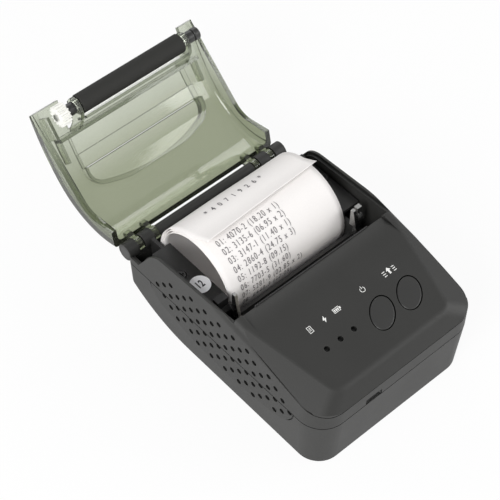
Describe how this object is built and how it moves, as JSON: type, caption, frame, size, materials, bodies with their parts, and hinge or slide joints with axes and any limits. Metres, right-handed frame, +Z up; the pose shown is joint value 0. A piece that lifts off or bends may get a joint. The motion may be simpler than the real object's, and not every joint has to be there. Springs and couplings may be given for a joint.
{
  "type": "portable receipt printer",
  "caption": "Hand-sized thermal receipt printer standing on its flat base, paper cover swung open on a rear hinge, loose paper roll in its bucket and the print mechanism behind the control panel.",
  "frame": {"origin": "centre of the case's flat base, on the plane that the printer stands on", "axes": "+Z up, -Y towards the front with the charging socket, +X towards the side of the feed button"},
  "size_m": [0.08, 0.1631, 0.0664],
  "materials": {
    "case_plastic": "fine-grained charcoal ABS",
    "button_plastic": "fine-grained charcoal ABS, slightly smoother than the case",
    "cover_plastic": "clear smoked grey-green plastic",
    "frame_plastic": "black glass-filled plastic",
    "bucket_plastic": "satin charcoal ABS",
    "hinge_plastic": "charcoal acetal pins",
    "bearing_plastic": "dark acetal bearings",
    "gear_plastic": "natural white acetal",
    "roller_rubber": "ground silicone rubber",
    "steel": "ground steel",
    "latch_steel": "bright stamped stainless steel",
    "frame_steel": "stamped zinc-plated steel",
    "motor_steel": "zinc-plated motor can",
    "screw_steel": "zinc-plated steel",
    "socket_steel": "drawn stainless shell",
    "brass": "bare brass",
    "head_aluminium": "milled aluminium heat sink",
    "head_ceramic": "glazed alumina with a dark heater line",
    "flex_film": "amber polyimide film",
    "paper": "smooth thermal paper",
    "sticker_paper": "pale matt sticker with a plain number",
    "battery_wrap": "plain shrink wrap",
    "board": "green solder mask",
    "chip_plastic": "black moulded packages",
    "led_plastic": "dark tinted plastic, unlit"
  },
  "bodies": {
    "case": {"lower_case": "case_plastic", "upper_case": "case_plastic", "hinge_pins": "hinge_plastic", "tear_bar": "latch_steel", "mechanism_frame": "frame_steel", "head_pivot": "steel", "stepper_motor": "motor_steel", "gear_pins": "steel", "gear_cover": "frame_plastic", "latch_pin": "steel", "paper_bucket": "bucket_plastic", "inspection_sticker": "sticker_paper", "battery_pack": "battery_wrap", "battery_contacts": "brass", "main_board": "board", "board_parts": "chip_plastic", "charge_socket": "socket_steel", "socket_tongue": "chip_plastic", "key_board": "board", "key_switches": "chip_plastic", "status_leds": "led_plastic", "light_pipes": "led_plastic", "head_springs": "steel", "head_flex": "flex_film", "case_screws": "screw_steel", "board_screws": "screw_steel", "ledge_screws": "screw_steel", "frame_screws": "screw_steel", "key_board_screws": "screw_steel"},
    "cover": {"paper_cover": "cover_plastic", "roller_carrier": "cover_plastic", "platen_bushes": "bearing_plastic"},
    "platen": {"platen_shaft": "steel", "platen_rubber": "roller_rubber", "platen_gear": "gear_plastic", "roller_knob": "bearing_plastic"},
    "print_head": {"head_plate": "head_aluminium", "head_ceramic": "head_ceramic"},
    "rotor": {"motor_shaft": "steel", "motor_pinion": "brass"},
    "reduction": {"reduction_gear": "gear_plastic"},
    "idler": {"idler_gear": "gear_plastic"},
    "latch": {"latch_lever": "latch_steel"},
    "feed": {"feed_button": "button_plastic"},
    "power": {"power_button": "button_plastic"},
    "door": {"battery_door": "case_plastic"},
    "paper": {"paper_roll": "paper"}
  },
  "joints": [
    {"name": "cover_hinge", "type": "hinge", "parent": "case", "child": "cover", "pos_m": [0, 0.0543, 0.0265], "axis": [1, 0, 0], "range_deg": [0, 134], "deforming": ["paper_roll"]},
    {"name": "platen_spin", "type": "hinge", "parent": "cover", "child": "platen", "pos_m": [0, 0.09788, 0.06198], "axis": [1, 0, 0], "continuous": true},
    {"name": "head_tilt", "type": "hinge", "parent": "case", "child": "print_head", "pos_m": [0, -0.0075, 0.0236], "axis": [1, 0, 0], "range_deg": [0, 3], "stiffness_Nm_per_rad": 0.5, "springref_deg": -2.86, "deforming": ["head_springs", "head_flex"]},
    {"name": "reduction_spin", "type": "hinge", "parent": "case", "child": "reduction", "pos_m": [-0.0331, 0.00321, 0.01648], "axis": [1, 0, 0], "continuous": true},
    {"name": "idler_spin", "type": "hinge", "parent": "case", "child": "idler", "pos_m": [-0.034, -0.00269, 0.02327], "axis": [1, 0, 0], "continuous": true},
    {"name": "motor_spin", "type": "hinge", "parent": "case", "child": "rotor", "pos_m": [-0.03, -0.0032, 0.0088], "axis": [1, 0, 0], "continuous": true},
    {"name": "latch_tilt", "type": "hinge", "parent": "case", "child": "latch", "pos_m": [0.0323, 0.0012, 0.026], "axis": [1, 0, 0], "range_deg": [0, 12]},
    {"name": "feed_press", "type": "slide", "parent": "case", "child": "feed", "axis": [0, 0.1876, -0.9822], "range_m": [0, 0.0006], "stiffness_N_per_m": 300, "springref_m": -0.0004},
    {"name": "power_press", "type": "slide", "parent": "case", "child": "power", "axis": [0, 0.1876, -0.9822], "range_m": [0, 0.0006], "stiffness_N_per_m": 300, "springref_m": -0.0004},
    {"name": "door_hinge", "type": "hinge", "parent": "case", "child": "door", "pos_m": [0, -0.0474, 0.0009], "axis": [-1, 0, 0], "range_deg": [0, 75]},
    {"name": "paper_lift", "type": "slide", "parent": "case", "child": "paper", "axis": [0, 0, -1], "range_m": [-0.045, 0.003]}
  ],
  "couplings": [
    {"joint": "idler_spin", "follows": "reduction_spin", "ratio": -0.5},
    {"joint": "motor_spin", "follows": "reduction_spin", "ratio": -2.3333}
  ]
}
